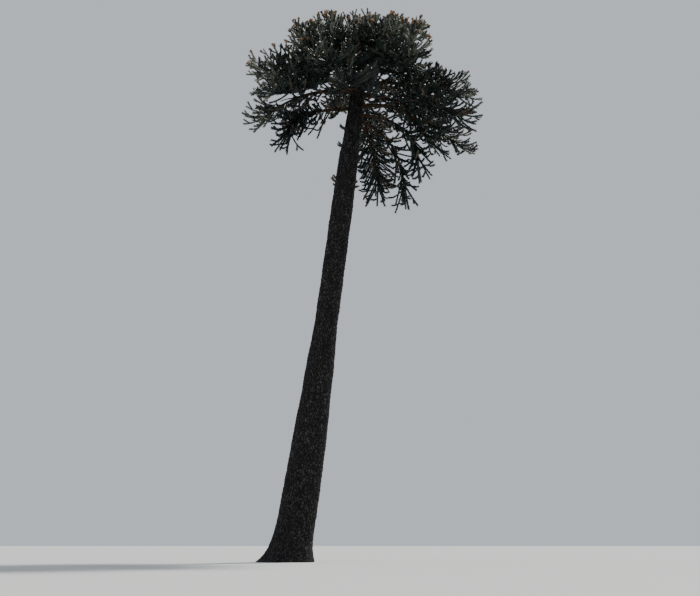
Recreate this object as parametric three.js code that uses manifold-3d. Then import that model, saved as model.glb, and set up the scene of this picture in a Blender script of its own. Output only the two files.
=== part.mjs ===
// A monkey puzzle tree, about 21 m tall: a leaning bare trunk with a root flare under an umbrella crown.
// Millimetres, +Z up. The origin is the middle of the trunk's flat cut at ground level, and the tree
// leans towards +X. A plane angle of 0 points along +X and 90 degrees along +Y.
//
// The crown is made of tiers of boughs. Each bough leaves the trunk, runs bare for a while, and then
// carries a mass of foliage: a stem with rope-like leafy shoots standing off it in pairs, as on a fish's
// spine. Each mass keeps to the space that lies nearer to its own stem than to any other.
import * as THREE from "three";
import { mergeVertices } from "three/addons/utils/BufferGeometryUtils.js";
import Module from "manifold-3d";

// Trunk
const TRUNK_HEIGHT = 19600;
const LEAN_AT = 17800; // the height at which LEAN_OUT is measured
const LEAN_OUT = 2310; // how far the trunk has gone sideways there
const LEAN_POWER = 0.9; // under 1, so that the trunk leans most at its foot
const TRUNK_SIDES = 16;
const TRUNK_STEPS = 20;
const FOOT_CROWDING = 1.5; // rings lie closer together at the foot, where the flare is
// Height and radius of the bole without its flare. It hardly tapers between 8 m and 14 m, and then
// steps in under the crown.
const BOLE = [
  [0, 620],
  [2000, 628],
  [3600, 592],
  [6000, 504],
  [8300, 412],
  [12500, 402],
  [14500, 375],
  [15600, 300],
  [17400, 268],
  [18800, 180],
  [19600, 80],
];
const FLARE = 325; // how far the roots stand out of the bole at the ground
const FLARE_BEHIND_LEAN = 95; // more on the side that the tree leans away from
const FLARE_FADE = 430; // height over which the flare falls to about a third
const ROOT_LOBES = 5;
const ROOT_LOBE_DEPTH = 70;
const ROOT_LOBE_TURN = 0.6;

// Boughs and stems
const GAP = 0.3; // clearance where two solids meet
const STEM_END_RADIUS = 40;
const BOUGH_SIDES = 5;
const BOUGH_STEPS = 4;
const STEM_SIDES = 3;
const STEM_STEPS = 4;
const START_PULL = 0.45; // Bezier handle lengths, as shares of the straight distance
const END_PULL = 0.35;

// Tiers of boughs, from the leader down. root is the height on the trunk, and neighbours stand a
// stagger above and below it. thick is the radius at the trunk, rise and end are the pitches at the two
// ends, and bare is the bare share. spread is the angle in degrees between shoot and stem, from the
// stem's base to its end, and upturn is how strongly a shoot's end turns up. Each bough is its plane
// angle in degrees, its horizontal reach from root to tip, its lift over that stretch, and a bare share
// of its own where it shows against the sky.
const UPRIGHT = { spread: [68, 34], upturn: 0.7 };
const HANGING = { spread: [46, 26], upturn: 0.25 };
const TIERS = [
  { name: "leader", root: 19300, stagger: 60, thick: 50, rise: 40, end: 45, bare: 0.3, ...UPRIGHT,
    boughs: [[17, 1450, 850], [204, 1200, 550], [285, 1150, -300]] },
  { name: "dome", root: 18800, stagger: 110, thick: 64, rise: 30, end: 15, bare: 0.34, ...UPRIGHT,
    boughs: [[346, 1900, 980], [45, 2000, 950], [92, 1950, 900], [154, 2300, 750],
      [200, 2200, 400], [241, 2000, -550], [296, 2100, -150]] },
  { name: "shoulder", root: 18050, stagger: 120, thick: 80, rise: 16, end: -10, bare: 0.38, ...UPRIGHT,
    boughs: [[351, 3900, -1150], [42, 3850, 200], [100, 3700, 500, 0.5], [150, 4100, 900, 0.62],
      [199, 3650, -550], [252, 3600, -1400], [300, 3600, -1200]] },
  { name: "skirt", root: 17400, stagger: 120, thick: 92, rise: 14, end: -30, bare: 0.4, ...UPRIGHT,
    boughs: [[19, 4300, -1400], [80, 4100, -100], [225, 3850, -1500], [158, 4150, -300, 0.5],
      [266, 3950, -1900], [336, 4050, -2000]] },
  { name: "hem", root: 16800, stagger: 90, thick: 80, rise: 0, end: -72, bare: 0.42, ...HANGING,
    boughs: [[335, 2950, -2100, 0.7], [72, 2700, -1700], [172, 2600, -750]] },
  { name: "weeping", root: 16300, stagger: 90, thick: 66, rise: -12, end: -85, bare: 0.45, ...HANGING,
    boughs: [[335, 2550, -2400], [9, 1950, -2650], [58, 1800, -2150]] },
];
const BOUGH_TAPER = 0.62; // radius where the bough enters its mass, as a share of that at the trunk

// The tuft on the trunk's tip
const TIP_THICK = 75;
const TIP_STEM = 250; // length of its stem

// Shoots
const SHOOT_LENGTH = 1100;
const SHOOT_SIZES = [0.85, 1.1]; // least and greatest length in a pair, as shares of SHOOT_LENGTH
const SHOOT_RADIUS = 62;
const SHOOT_ROOT_RADIUS = 8; // slim enough to start inside the stem
const SHOOT_SIDES = 3;
const SHOOT_RINGS = 2;
const RING_CROWDING = 0.6; // under 1, so that the widest ring lies beyond the middle
const SHOOT_TRIES = [1, 0.82, 0.64]; // lengths tried, as shares, before a shoot is left out
const PAIR_SPACING = 200; // along the stem
const PAIR_STAGGER = 0.2; // of that spacing, each shoot of a pair to its own side
const PAIR_ROLL = 0.9; // radians that a shoot may stand above or below the frond's plane
const ELBOW = 0.55; // share of a shoot's length before its end turns up
const FAN_AT = 0.97; // where the last shoots of a stem stand together
const FAN_SIZE = 0.9;
const FAN_TURN = 0.5; // radians
const FAN_SPREADS = [0.2, 0.8, 0.8]; // the first goes nearly straight on
const SPACE_MARGIN = 80; // how much nearer to its own stem each point of a shoot has to be
const LIMB_MARGIN = 40; // least distance between a shoot and a limb
const TESTED_AT = [0.3, 0.5, 0.7, 0.85, 1]; // places along a shoot where its space is tested
const STEM_SAMPLES = 12; // points of a stem or bough that distances are measured to
const SMALLEST_EDGE = 0.1; // shorter edges left by joining and cutting are removed

const NEARLY_UPRIGHT = 0.9; // a steeper course takes its cross-section's direction from +X
const SEED = 4.2;
const UP = new THREE.Vector3(0, 0, 1);
const rad = THREE.MathUtils.degToRad;
const { lerp, clamp } = THREE.MathUtils;

const wasm = await Module();
wasm.setup();

// The same number between 0 and 1 for the same two keys.
function seeded(key, draw) {
  const x = Math.sin(key * 127.1 + draw * 311.7 + SEED) * 43758.5453;
  return x - Math.floor(x);
}

const between = (key, draw, range) => (2 * seeded(key, draw) - 1) * range;

// A closed three.js geometry as a solid for joining and cutting.
function solidOf(geometry) {
  const bare = geometry.clone().deleteAttribute("normal").deleteAttribute("uv");
  const merged = mergeVertices(bare, 0.001);
  return new wasm.Manifold(
    new wasm.Mesh({
      numProp: 3,
      vertProperties: new Float32Array(merged.attributes.position.array),
      triVerts: new Uint32Array(merged.index.array),
    }),
  );
}

function geometryOf(solid) {
  const mesh = solid.getMesh();
  const geometry = new THREE.BufferGeometry();
  geometry.setAttribute("position", new THREE.BufferAttribute(mesh.vertProperties, 3));
  geometry.setIndex(new THREE.BufferAttribute(mesh.triVerts, 1));
  geometry.computeVertexNormals();
  return geometry;
}

// Bends an upright unit cylinder or cone so that its axis follows a curve and its radius a function.
function bend(upright, curve, radiusAt, across, placeOf = (t) => t) {
  const position = upright.attributes.position;
  const point = new THREE.Vector3();
  for (let i = 0; i < position.count; i++) {
    point.fromBufferAttribute(position, i);
    const t = placeOf(clamp(point.y + 0.5, 0, 1));
    const tangent = curve.getTangent(t);
    const side = across.clone().addScaledVector(tangent, -across.dot(tangent)).normalize();
    const above = new THREE.Vector3().crossVectors(tangent, side);
    const onAxis = Math.hypot(point.x, point.z) < 1e-6;
    const angle = Math.atan2(point.x, point.z);
    const radius = onAxis ? 0 : radiusAt(t);
    const placed = curve
      .getPoint(t)
      .addScaledVector(side, radius * Math.cos(angle))
      .addScaledVector(above, radius * Math.sin(angle));
    position.setXYZ(i, placed.x, placed.y, placed.z);
  }
  return upright;
}

const trunkAxis = (z) =>
  new THREE.Vector3(LEAN_OUT * Math.pow(Math.max(z, 0) / LEAN_AT, LEAN_POWER), 0, z);

function boleRadius(z) {
  const above = BOLE.findIndex(([height]) => height >= z);
  if (above <= 0) return BOLE[above === 0 ? 0 : BOLE.length - 1][1];
  const [low, high] = [BOLE[above - 1], BOLE[above]];
  return lerp(low[1], high[1], THREE.MathUtils.smoothstep(z, low[0], high[0]));
}

function trunkRadius(z, angle) {
  const roots =
    FLARE -
    FLARE_BEHIND_LEAN * Math.cos(angle) +
    ROOT_LOBE_DEPTH * Math.cos(ROOT_LOBES * (angle - ROOT_LOBE_TURN));
  return boleRadius(z) + roots * Math.exp(-z / FLARE_FADE);
}

// The trunk, grown by a clearance when it is to cut something else.
function makeTrunk(grown = 0) {
  const geometry = new THREE.CylinderGeometry(1, 1, 1, TRUNK_SIDES, TRUNK_STEPS);
  const position = geometry.attributes.position;
  for (let i = 0; i < position.count; i++) {
    const [x, z] = [position.getX(i), position.getZ(i)];
    const height = TRUNK_HEIGHT * Math.pow(clamp(position.getY(i) + 0.5, 0, 1), FOOT_CROWDING);
    const angle = Math.atan2(x, z);
    const radius = Math.hypot(x, z) < 1e-6 ? 0 : trunkRadius(height, angle) + grown;
    const axis = trunkAxis(height);
    position.setXYZ(i, axis.x + radius * Math.cos(angle), radius * Math.sin(angle), height);
  }
  return solidOf(geometry);
}

// One limb's course in the upright plane that it lies in, from the trunk's axis to its last tip.
function limbCourse(tier, root, turn, reach, lift) {
  const out = new THREE.Vector3(Math.cos(turn), Math.sin(turn), 0);
  const heading = (pitch) =>
    out.clone().multiplyScalar(Math.cos(rad(pitch))).addScaledVector(UP, Math.sin(rad(pitch)));
  const tip = root.clone().addScaledVector(out, reach).addScaledVector(UP, lift);
  const chord = Math.hypot(reach, lift);
  return new THREE.CubicBezierCurve3(
    root,
    root.clone().addScaledVector(heading(tier.rise), chord * START_PULL),
    tip.clone().addScaledVector(heading(tier.end), -chord * END_PULL),
    tip,
  );
}

// The stretch of a curve between two of its parameters, itself run from 0 to 1.
class Stretch extends THREE.Curve {
  constructor(whole, from, to) {
    super();
    Object.assign(this, { whole, from, to });
  }
  getPoint(t) {
    return this.whole.getPoint(lerp(this.from, this.to, t));
  }
  getTangent(t) {
    return this.whole.getTangent(lerp(this.from, this.to, t));
  }
}

function planLimbs() {
  const limbs = [];
  for (const tier of TIERS) {
    tier.boughs.forEach(([degrees, reach, lift, bare = tier.bare], n) => {
      const key = limbs.length + 1;
      const turn = rad(degrees);
      const root = trunkAxis(tier.root + (key % 2 ? 1 : -1) * tier.stagger);
      const course = limbCourse(tier, root, turn, reach, lift);
      const gapShare = GAP / course.getLength();
      limbs.push({
        key,
        thick: tier.thick,
        spread: tier.spread,
        upturn: tier.upturn,
        side: new THREE.Vector3(-Math.sin(turn), Math.cos(turn), 0),
        bough: new Stretch(course, 0, bare),
        stem: new Stretch(course, bare + gapShare, 1),
        label: tier.name + "_" + (n + 1),
      });
    });
  }
  return limbs;
}

// The leader's own tuft stands on the trunk's tip.
function planTip() {
  const foot = trunkAxis(TRUNK_HEIGHT).addScaledVector(UP, GAP);
  const head = foot.clone().addScaledVector(UP, TIP_STEM);
  return {
    key: 0,
    thick: TIP_THICK,
    ...UPRIGHT,
    side: new THREE.Vector3(0, 1, 0),
    bough: null,
    stem: new Stretch(new THREE.LineCurve3(foot, head), 0, 1),
    label: "tip",
  };
}

const sample = (curve) => curve.getPoints(STEM_SAMPLES);
const nearest = (point, points) => Math.min(...points.map((other) => point.distanceTo(other)));

// True where a shoot stays in its own mass's space and clear of every limb.
function keepsToItsSpace(shoot, own, limbs) {
  for (const t of TESTED_AT) {
    const point = shoot.getPoint(t);
    const home = nearest(point, own.stemPoints);
    for (const limb of limbs) {
      if (limb !== own && home + SPACE_MARGIN > nearest(point, limb.stemPoints)) return false;
      const clear = limb.thick + SHOOT_RADIUS + LIMB_MARGIN;
      if (limb.boughPoints.length && nearest(point, limb.boughPoints) < clear) return false;
    }
    const axis = trunkAxis(point.z);
    const clear = boleRadius(point.z) + SHOOT_RADIUS + LIMB_MARGIN;
    const level = point.z < TRUNK_HEIGHT + SHOOT_RADIUS;
    if (level && Math.hypot(point.x - axis.x, point.y) < clear) return false;
  }
  return true;
}

// A shoot's course: it leaves the stem at an angle, and its end turns up.
function shootCourse(limb, along, sideways, lengthwise, length) {
  const root = limb.stem.getPoint(along);
  const tangent = limb.stem.getTangent(along);
  const spread = rad(lerp(...limb.spread, along)) * lengthwise;
  const above = new THREE.Vector3().crossVectors(tangent, limb.side).negate();
  const off = limb.side.clone().multiplyScalar(Math.cos(sideways));
  off.addScaledVector(above, Math.sin(sideways));
  const first = tangent.clone().multiplyScalar(Math.cos(spread));
  first.addScaledVector(off, Math.sin(spread)).normalize();
  const last = first.clone().addScaledVector(UP, limb.upturn).normalize();
  const elbow = root.clone().addScaledVector(first, length * ELBOW);
  const end = elbow.clone().addScaledVector(last, length * (1 - ELBOW));
  return new THREE.QuadraticBezierCurve3(root, elbow, end);
}

// A shoot is a slim-rooted spindle.
const shootRadius = (t) => (t === 0 ? SHOOT_ROOT_RADIUS : SHOOT_RADIUS);
const shootPlace = (t) => Math.pow(t, RING_CROWDING);

function makeShoot(course) {
  const upright = new THREE.ConeGeometry(1, 1, SHOOT_SIDES, SHOOT_RINGS);
  const steep = Math.abs(course.getTangent(0.5).z) > NEARLY_UPRIGHT;
  const across = steep ? new THREE.Vector3(1, 0, 0) : UP;
  return solidOf(bend(upright, course, shootRadius, across, shootPlace));
}

// The rule: pairs of shoots along the stem, one to each side, and a fan at its end.
function shootsOf(limb) {
  const wishes = [];
  const pairs = Math.round(limb.stem.getLength() / PAIR_SPACING);
  for (let pair = 0; pair < pairs; pair++) {
    for (const hand of [-1, 1]) {
      const draw = 10 + 4 * pair + hand;
      const along = (pair + 0.5 + PAIR_STAGGER * hand) / pairs;
      const sideways = (hand > 0 ? 0 : Math.PI) + between(limb.key, draw, PAIR_ROLL);
      wishes.push([along, sideways, 1, lerp(...SHOOT_SIZES, seeded(limb.key, draw + 50))]);
    }
  }
  FAN_SPREADS.forEach((spread, n) => {
    const sideways = (n * 2 * Math.PI) / FAN_SPREADS.length + FAN_TURN;
    wishes.push([FAN_AT, sideways, spread, FAN_SIZE]);
  });
  return wishes;
}

function makeMass(limb, limbs) {
  const stemRadius = (t) => lerp(limb.thick * BOUGH_TAPER, STEM_END_RADIUS, t);
  const upright = new THREE.CylinderGeometry(1, 1, 1, STEM_SIDES, STEM_STEPS);
  const solids = [solidOf(bend(upright, limb.stem, stemRadius, limb.side))];
  for (const [along, sideways, lengthwise, size] of shootsOf(limb)) {
    for (const share of SHOOT_TRIES) {
      const length = SHOOT_LENGTH * size * share;
      const course = shootCourse(limb, along, sideways, lengthwise, length);
      if (keepsToItsSpace(course, limb, limbs)) {
        solids.push(makeShoot(course));
        break;
      }
    }
  }
  return wasm.Manifold.union(solids).simplify(SMALLEST_EDGE);
}

function makeBough(limb, trunkCutter) {
  const radiusAt = (t) => limb.thick * lerp(1, BOUGH_TAPER, t);
  const upright = new THREE.CylinderGeometry(1, 1, 1, BOUGH_SIDES, BOUGH_STEPS);
  const whole = solidOf(bend(upright, limb.bough, radiusAt, limb.side));
  return whole.subtract(trunkCutter).simplify(SMALLEST_EDGE);
}

const BARK = new THREE.MeshStandardMaterial({ color: 0x4a443b, roughness: 0.95, metalness: 0 });
const LIMB = new THREE.MeshStandardMaterial({ color: 0x54422f, roughness: 0.9, metalness: 0 });
const LEAF = new THREE.MeshStandardMaterial({ color: 0x2c3a1c, roughness: 0.7, metalness: 0 });

function named(name, solid, material) {
  const mesh = new THREE.Mesh(geometryOf(solid), material);
  mesh.name = name;
  return mesh;
}

const tree = new THREE.Group();
tree.add(named("trunk", makeTrunk(), BARK));
const trunkCutter = makeTrunk(GAP);
const limbs = [...planLimbs(), planTip()];
for (const limb of limbs) {
  limb.stemPoints = sample(limb.stem);
  limb.boughPoints = limb.bough ? sample(limb.bough).slice(1) : [];
}
for (const limb of limbs) {
  if (limb.bough) tree.add(named("bough_" + limb.label, makeBough(limb, trunkCutter), LIMB));
  tree.add(named("foliage_" + limb.label, makeMass(limb, limbs), LEAF));
}

export default tree;
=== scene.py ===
# %% [markdown]
# The monkey puzzle tree and its fixed frame
# The frame holds the tree as plain solids in metres: a leaning trunk, 29 boughs and 30 masses of foliage.
# This notebook grows the real tree in the same places: plated bark, brown boughs, rope-like shoots covered
# in stiff scale leaves, and small cones at the top. The box of the solids is kept, because the grown tree
# may stand only a little out of it.

# %% Load the frame
import math

import bmesh
import bpy
import numpy as np
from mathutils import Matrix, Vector


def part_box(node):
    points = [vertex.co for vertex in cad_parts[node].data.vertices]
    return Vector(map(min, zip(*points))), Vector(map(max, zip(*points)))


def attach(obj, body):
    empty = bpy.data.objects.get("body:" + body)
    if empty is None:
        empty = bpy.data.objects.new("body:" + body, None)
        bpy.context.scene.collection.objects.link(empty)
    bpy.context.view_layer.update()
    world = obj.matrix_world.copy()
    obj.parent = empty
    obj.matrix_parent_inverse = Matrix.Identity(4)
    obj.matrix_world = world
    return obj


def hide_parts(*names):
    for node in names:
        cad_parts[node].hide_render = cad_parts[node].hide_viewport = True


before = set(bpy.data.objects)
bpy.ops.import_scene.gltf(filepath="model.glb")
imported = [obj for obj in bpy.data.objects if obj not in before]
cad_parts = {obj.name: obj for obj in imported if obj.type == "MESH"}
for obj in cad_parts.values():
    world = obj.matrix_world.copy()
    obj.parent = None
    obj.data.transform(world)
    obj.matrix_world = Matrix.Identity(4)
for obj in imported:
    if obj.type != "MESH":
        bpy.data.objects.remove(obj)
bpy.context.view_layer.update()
FOLIAGE_NODES = [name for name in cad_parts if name.startswith("foliage_")]
BOUGH_NODES = [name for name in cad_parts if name.startswith("bough_")]
print(len(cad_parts), "solids:", len(BOUGH_NODES), "boughs and", len(FOLIAGE_NODES), "masses")

# %% [markdown]
# The camera
# The picture was taken from the foot of a low rise, looking up at the crown. A focal length in pixels turns
# into a lens in millimetres by the ratio of the sensor's width to the picture's width.

# %% Place the camera
PHOTO_WIDTH = 700
FOCAL_PIXELS = 788
SENSOR_WIDTH = 36.0
CAMERA_PLACE = (1.98, -27.0, 0.53)
CAMERA_PITCH = 17.4


def placed(name, data):
    """A new object in the scene for a mesh, a lamp or a camera."""
    made = bpy.data.objects.new(name, data)
    bpy.context.collection.objects.link(made)
    return made


camera_data = bpy.data.cameras.new("view")
camera_data.sensor_width = SENSOR_WIDTH
camera_data.lens = FOCAL_PIXELS / PHOTO_WIDTH * SENSOR_WIDTH
camera = placed("view", camera_data)
camera.location = CAMERA_PLACE
camera.rotation_euler = (math.radians(90 + CAMERA_PITCH), 0, 0)
bpy.context.scene.camera = camera
print("lens", round(camera_data.lens, 2), "mm")

# %% [markdown]
# Floor and light
# A tree this tall needs light that is even from root to crown, so a sun is simpler than area lights. A wide
# sun angle softens its shadows as a large diffuser does. A second, weaker sun lifts the shaded side.

# %% Make the floor and the lights
FLOOR_HALF = 400.0
FLOOR_GREY = (0.52, 0.52, 0.51, 1)
FLOOR_ROUGHNESS = 0.9
SKY_GREY = (0.78, 0.84, 0.92, 1)
SKY_STRENGTH = 0.72


def add_sun(name, strength, softness, elevation, azimuth, colour):
    """A sun that shines from an elevation and a plane angle. All its angles are in degrees."""
    data = bpy.data.lights.new(name, "SUN")
    data.energy = strength
    data.angle = math.radians(softness)
    data.color = colour
    up, round_z = math.radians(elevation), math.radians(azimuth)
    towards = Vector((math.cos(up) * math.cos(round_z), math.cos(up) * math.sin(round_z), math.sin(up)))
    lamp = placed(name, data)
    lamp.rotation_euler = towards.to_track_quat("Z", "Y").to_euler()
    return lamp


def new_material(name):
    """A material with nodes, and its shader."""
    material = bpy.data.materials.new(name)
    material.use_nodes = True
    return material, material.node_tree.nodes["Principled BSDF"]


floor_paper, shader = new_material("floor_paper")
shader.inputs["Base Color"].default_value = FLOOR_GREY
shader.inputs["Roughness"].default_value = FLOOR_ROUGHNESS
corners = [(x * FLOOR_HALF, y * FLOOR_HALF, 0) for x, y in ((-1, -1), (1, -1), (1, 1), (-1, 1))]
floor_mesh = bpy.data.meshes.new("floor")
floor_mesh.from_pydata(corners, [], [(0, 1, 2, 3)])
floor_mesh.materials.append(floor_paper)
floor = placed("floor", floor_mesh)

world = bpy.data.worlds.new("studio")
world.use_nodes = True
world.node_tree.nodes["Background"].inputs["Color"].default_value = SKY_GREY
world.node_tree.nodes["Background"].inputs["Strength"].default_value = SKY_STRENGTH
bpy.context.scene.world = world
suns = [
    add_sun("key_light", strength=4.4, softness=8, elevation=58, azimuth=40, colour=(1.0, 0.97, 0.92)),
    add_sun("fill_light", strength=0.15, softness=60, elevation=25, azimuth=215, colour=(0.9, 0.95, 1.0)),
]
print("floor and", len(suns), "suns")

# %% [markdown]
# The growth rule
# Every limb follows one smooth Bezier curve, and chance is drawn from a sine of two whole numbers. The same
# two numbers always give the same chance, so the tree grows alike on every run, and like the solids.

# %% Helpers for chance and curves
SEED = 4.2
KEY_FACTOR = 127.1
DRAW_FACTOR = 311.7
SINE_FACTOR = 43758.5453
UP = np.array([0.0, 0.0, 1.0])


def seeded(key, draw):
    """The same number between 0 and 1 for the same two keys."""
    value = math.sin(key * KEY_FACTOR + draw * DRAW_FACTOR + SEED) * SINE_FACTOR
    return value - math.floor(value)


def between(key, draw, reach):
    """A seeded number between -reach and reach."""
    return (2 * seeded(key, draw) - 1) * reach


def blend(low, high, share):
    """The value at a share of the way from low to high."""
    return low + (high - low) * share


def unit(vector):
    """The vector at a length of 1."""
    return vector / np.linalg.norm(vector)


def level_way(angle):
    """The level way of length 1 at a plane angle."""
    return np.array([math.cos(angle), math.sin(angle), 0.0])


def bezier(handles, places):
    """Points of the Bezier curve with these handles, at places between 0 and 1."""
    share = np.atleast_1d(places)[:, None]
    layer = [np.asarray(handle, float)[None, :] for handle in handles]
    while len(layer) > 1:
        layer = [first * (1 - share) + second * share for first, second in zip(layer, layer[1:])]
    return layer[0]


def bezier_tangent(handles, place):
    """The unit tangent of the Bezier curve at one place."""
    steps = [np.asarray(b, float) - np.asarray(a, float) for a, b in zip(handles, handles[1:])]
    return unit(bezier(steps, place)[0])


print("first chances", [round(seeded(1, draw), 3) for draw in range(3)])

# %% [markdown]
# The trunk's axis and girth
# The bole leans most at its foot and straightens higher up. It hardly tapers in its middle, steps in under
# the crown, and spreads into five low root lobes at the ground.

# %% Describe the trunk
TRUNK_HEIGHT = 19.6
LEAN_AT = 17.8
LEAN_OUT = 2.31
LEAN_POWER = 0.9
# Heights and the bole's radius there
BOLE = [(0, 0.620), (2.0, 0.628), (3.6, 0.592), (6.0, 0.504), (8.3, 0.412), (12.5, 0.402),
        (14.5, 0.375), (15.6, 0.300), (17.4, 0.268), (18.8, 0.180), (19.6, 0.080)]
FLARE = 0.325
FLARE_BEHIND_LEAN = 0.095
FLARE_FADE = 0.43
ROOT_LOBES = 5
ROOT_LOBE_DEPTH = 0.070
ROOT_LOBE_TURN = 0.6
BREAST_HEIGHT = 1.3


def trunk_axis(z):
    """The middle of the trunk at a height."""
    return np.array([LEAN_OUT * (max(z, 0.0) / LEAN_AT) ** LEAN_POWER, 0.0, z])


def bole_radius(z):
    """The bole's radius at a height, without its flare: smooth steps between the listed heights."""
    if z <= BOLE[0][0]:
        return BOLE[0][1]
    for (low, low_radius), (high, high_radius) in zip(BOLE, BOLE[1:]):
        if z <= high:
            share = (z - low) / (high - low)
            return blend(low_radius, high_radius, share * share * (3 - 2 * share))
    return BOLE[-1][1]


def trunk_radius(z, angle):
    """The trunk's radius towards a plane angle, with the root flare."""
    lobes = ROOT_LOBE_DEPTH * math.cos(ROOT_LOBES * (angle - ROOT_LOBE_TURN))
    roots = FLARE - FLARE_BEHIND_LEAN * math.cos(angle) + lobes
    return bole_radius(z) + roots * math.exp(-z / FLARE_FADE)


print("girth at breast height", round(2 * math.pi * trunk_radius(BREAST_HEIGHT, 0), 2), "m")

# %% [markdown]
# Node trees from script
# A Geometry Nodes tree is a small program for shapes, and a material's tree is one for colour and light.
# These helpers make a tree with named inputs and join its nodes. A node's input is linked where it is given
# a socket, and set where it is given a value.

# %% Helpers for node trees
SOCKETS = {"shape": "NodeSocketGeometry", "number": "NodeSocketFloat", "count": "NodeSocketInt",
           "vector": "NodeSocketVector", "object": "NodeSocketObject", "material": "NodeSocketMaterial",
           "colour": "NodeSocketColor"}


def new_tree(name, kind, inputs, outputs):
    """A node group with named sockets. inputs are (name, kind, default) and outputs are (name, kind)."""
    tree = bpy.data.node_groups.new(name, kind)
    for label, socket, default in inputs:
        item = tree.interface.new_socket(label, in_out="INPUT", socket_type=SOCKETS[socket])
        if default is not None:
            item.default_value = default
    for label, socket in outputs:
        tree.interface.new_socket(label, in_out="OUTPUT", socket_type=SOCKETS[socket])
    return tree, tree.nodes.new("NodeGroupInput").outputs, tree.nodes.new("NodeGroupOutput").inputs


def shape_tree(name, inputs):
    """A tree for shapes: one goes in with the named inputs, and one comes out."""
    inputs = [("Geometry", "shape", None), *inputs]
    return new_tree(name, "GeometryNodeTree", inputs, [("Geometry", "shape")])


def node(tree, kind, settings=None, **inputs):
    """A node whose inputs are linked to sockets or set to values, by name or by _number."""
    made = tree.nodes.new(kind)
    for name, value in (settings or {}).items():
        setattr(made, name, value)
    for name, value in inputs.items():
        key = int(name[1:]) if name[0] == "_" else name.replace("_", " ")
        if isinstance(value, bpy.types.NodeSocket):
            tree.links.new(value, made.inputs[key])
        else:
            made.inputs[key].default_value = value
    return made


def maths(tree, operation, *values, kind="ShaderNodeMath"):
    """The result of a Math node."""
    inputs = {"_" + str(place): value for place, value in enumerate(values)}
    return node(tree, kind, {"operation": operation}, **inputs).outputs[0]


def vectors(tree, operation, *values):
    """The vector result of a Vector Math node."""
    return maths(tree, operation, *values, kind="ShaderNodeVectorMath")


def scaled(tree, vector, factor):
    """A vector times a number."""
    made = node(tree, "ShaderNodeVectorMath", {"operation": "SCALE"}, Vector=vector, Scale=factor)
    return made.outputs[0]


def weighted(tree, *terms):
    """The sum of some values, each times its own weight."""
    total = maths(tree, "MULTIPLY", *terms[0])
    for term in terms[1:]:
        total = maths(tree, "ADD", total, maths(tree, "MULTIPLY", *term))
    return total


def ramp(tree, value, low, high, low_result=0.0, high_result=1.0):
    """A smooth step of a value between two limits."""
    return node(tree, "ShaderNodeMapRange", {"interpolation_type": "SMOOTHSTEP"}, _0=value, _1=low, _2=high,
                _3=low_result, _4=high_result).outputs[0]


def noise(tree, vector, scale, detail=3.0, roughness=0.6):
    """The value of a noise texture."""
    return node(tree, "ShaderNodeTexNoise", Vector=vector, Scale=scale, Detail=detail,
                Roughness=roughness).outputs[0]


print("tree helpers ready, with", len(SOCKETS), "kinds of socket")

# %% [markdown]
# Pieces and their trees
# A piece starts as points, lines or faces at the origin. A tree runs on it as a modifier, and the result is
# kept as its plain mesh. A modifier knows its inputs by an identifier, so the name is looked up first.

# %% Helpers for pieces
def new_piece(name, points, edges, faces):
    """An object at the origin with its place in its mesh."""
    mesh = bpy.data.meshes.new(name)
    mesh.from_pydata(points, edges, faces)
    return placed(name, mesh)


def mark_points(piece, name, kind, values):
    """Gives the points of a piece a number or a way each, which its tree reads by name."""
    attribute = piece.data.attributes.new(name, kind, "POINT")
    attribute.data.foreach_set("value" if kind == "FLOAT" else "vector", np.concatenate(values))


def stored(tree, name, kind="FLOAT"):
    """In a tree, the value that the points of the piece carry under a name."""
    return node(tree, "GeometryNodeInputNamedAttribute", {"data_type": kind}, Name=name).outputs[0]


def apply_tree(piece, tree, values):
    """Runs a tree on an object, keeps the result as its plain mesh and takes the modifier off."""
    modifier = piece.modifiers.new(tree.name, "NODES")
    modifier.node_group = tree
    for item in tree.interface.items_tree:
        if item.in_out == "INPUT" and item.name in values:
            modifier[item.identifier] = values[item.name]
    evaluated = piece.evaluated_get(bpy.context.evaluated_depsgraph_get())
    mesh = bpy.data.meshes.new_from_object(evaluated)
    piece.modifiers.clear()
    piece.data = mesh
    mesh.name = piece.name


def triangles(piece):
    """How many triangles a piece has."""
    return sum(len(face.vertices) - 2 for face in piece.data.polygons)


print("piece helpers ready")

# %% [markdown]
# Bark plates
# Old bark breaks into plates with cracks between them. A Voronoi texture gives cells, and its distance to
# the nearest cell edge gives the cracks. A slow noise bends the edges so that they don't look like a net.
# The same nodes work in a shape tree and in a material, so one function builds them for both: the shape is
# dented coarsely, and the colour follows the same cracks at full sharpness.

# %% The bark relief tree
BARK_INPUTS = [("Plate", "number", 0.1), ("Stretch", "number", 1.7), ("Crack", "number", 0.2),
               ("Depth", "number", 0.03), ("Lumps", "number", 0.02)]
LUMP_SIZE = 0.55
LUMP_MIDDLE = 0.3
WOBBLE = 0.85
WOBBLE_SCALE = 0.9
NOISE_MIDDLE = (0.5, 0.5, 0.5)
PLATE_GRAIN = 1.7
PLATE_LEAST = 0.45
PLATE_RANGE = 0.9


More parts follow.
